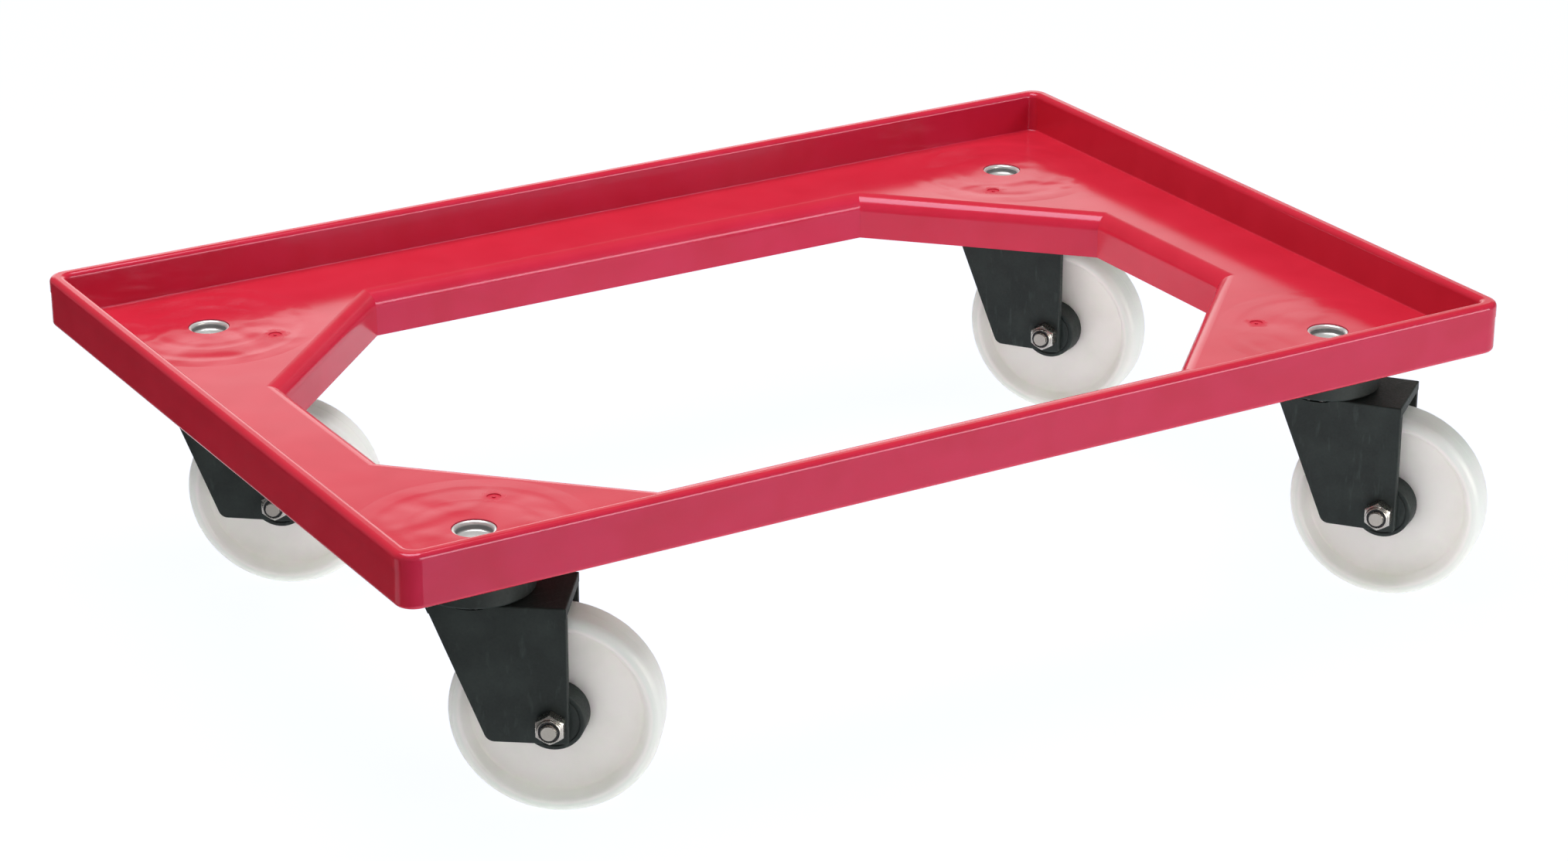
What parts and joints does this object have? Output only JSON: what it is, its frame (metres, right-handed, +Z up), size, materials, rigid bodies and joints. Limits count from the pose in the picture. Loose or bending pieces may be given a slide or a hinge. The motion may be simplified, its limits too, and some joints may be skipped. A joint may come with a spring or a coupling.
{
  "type": "crate dolly",
  "caption": "Flat plastic dolly with an upstanding rim that holds a crate, an eight-sided opening in the deck, and swivel castors with nylon wheels.",
  "frame": {"origin": "on the floor, below the middle of the frame", "axes": "+X along the frame's long side, +Y along its short side to the far side in the picture, +Z up"},
  "size_m": [0.62, 0.4335, 0.1606],
  "materials": {
    "red_abs": "gloss, moulded",
    "black_nylon": "satin, moulded",
    "white_nylon": "satin, moulded",
    "white_acetal": "smooth",
    "dark_nylon_ring": "matt",
    "stainless_steel": "bright"
  },
  "bodies": {
    "base": {"frame": "red_abs", "front_left_swivel_collar": "black_nylon", "front_left_king_pin": "stainless_steel", "front_left_bearing_balls": "stainless_steel", "front_left_thrust_washer": "white_acetal", "front_right_swivel_collar": "black_nylon", "front_right_king_pin": "stainless_steel", "front_right_bearing_balls": "stainless_steel", "front_right_thrust_washer": "white_acetal", "rear_right_swivel_collar": "black_nylon", "rear_right_king_pin": "stainless_steel", "rear_right_bearing_balls": "stainless_steel", "rear_right_thrust_washer": "white_acetal", "rear_left_swivel_collar": "black_nylon", "rear_left_king_pin": "stainless_steel", "rear_left_bearing_balls": "stainless_steel", "rear_left_thrust_washer": "white_acetal"},
    "front_left_fork_group": {"front_left_fork": "black_nylon", "front_left_swivel_bush": "white_acetal", "front_left_axle_bolt": "stainless_steel", "front_left_lock_nut": "stainless_steel", "front_left_nut_ring": "dark_nylon_ring", "front_left_axle_sleeve": "stainless_steel"},
    "front_left_wheel_group": {"front_left_wheel": "white_nylon", "front_left_hub_bushes": "black_nylon"},
    "front_right_fork_group": {"front_right_fork": "black_nylon", "front_right_swivel_bush": "white_acetal", "front_right_axle_bolt": "stainless_steel", "front_right_lock_nut": "stainless_steel", "front_right_nut_ring": "dark_nylon_ring", "front_right_axle_sleeve": "stainless_steel"},
    "front_right_wheel_group": {"front_right_wheel": "white_nylon", "front_right_hub_bushes": "black_nylon"},
    "rear_right_fork_group": {"rear_right_fork": "black_nylon", "rear_right_swivel_bush": "white_acetal", "rear_right_axle_bolt": "stainless_steel", "rear_right_lock_nut": "stainless_steel", "rear_right_nut_ring": "dark_nylon_ring", "rear_right_axle_sleeve": "stainless_steel"},
    "rear_right_wheel_group": {"rear_right_wheel": "white_nylon", "rear_right_hub_bushes": "black_nylon"},
    "rear_left_fork_group": {"rear_left_fork": "black_nylon", "rear_left_swivel_bush": "white_acetal", "rear_left_axle_bolt": "stainless_steel", "rear_left_lock_nut": "stainless_steel", "rear_left_nut_ring": "dark_nylon_ring", "rear_left_axle_sleeve": "stainless_steel"},
    "rear_left_wheel_group": {"rear_left_wheel": "white_nylon", "rear_left_hub_bushes": "black_nylon"}
  },
  "joints": [
    {"name": "front_left_swivel", "type": "hinge", "parent": "base", "child": "front_left_fork_group", "pos_m": [-0.245, -0.15, 0.1094], "axis": [0, 0, 1], "continuous": true},
    {"name": "front_left_roll", "type": "hinge", "parent": "front_left_fork_group", "child": "front_left_wheel_group", "pos_m": [-0.2155, -0.17183, 0.05], "axis": [-0.5948, -0.8039, 0], "continuous": true},
    {"name": "front_right_swivel", "type": "hinge", "parent": "base", "child": "front_right_fork_group", "pos_m": [0.245, -0.15, 0.1094], "axis": [0, 0, 1], "continuous": true},
    {"name": "front_right_roll", "type": "hinge", "parent": "front_right_fork_group", "child": "front_right_wheel_group", "pos_m": [0.26785, -0.17872, 0.05], "axis": [-0.7826, -0.6225, 0], "continuous": true},
    {"name": "rear_right_swivel", "type": "hinge", "parent": "base", "child": "rear_right_fork_group", "pos_m": [0.245, 0.15, 0.1094], "axis": [0, 0, 1], "continuous": true},
    {"name": "rear_right_roll", "type": "hinge", "parent": "rear_right_fork_group", "child": "rear_right_wheel_group", "pos_m": [0.26605, 0.11994, 0.05], "axis": [-0.8192, -0.5736, 0], "continuous": true},
    {"name": "rear_left_swivel", "type": "hinge", "parent": "base", "child": "rear_left_fork_group", "pos_m": [-0.245, 0.15, 0.1094], "axis": [0, 0, 1], "continuous": true},
    {"name": "rear_left_roll", "type": "hinge", "parent": "rear_left_fork_group", "child": "rear_left_wheel_group", "pos_m": [-0.21628, 0.12715, 0.05], "axis": [-0.6225, -0.7826, 0], "continuous": true}
  ]
}
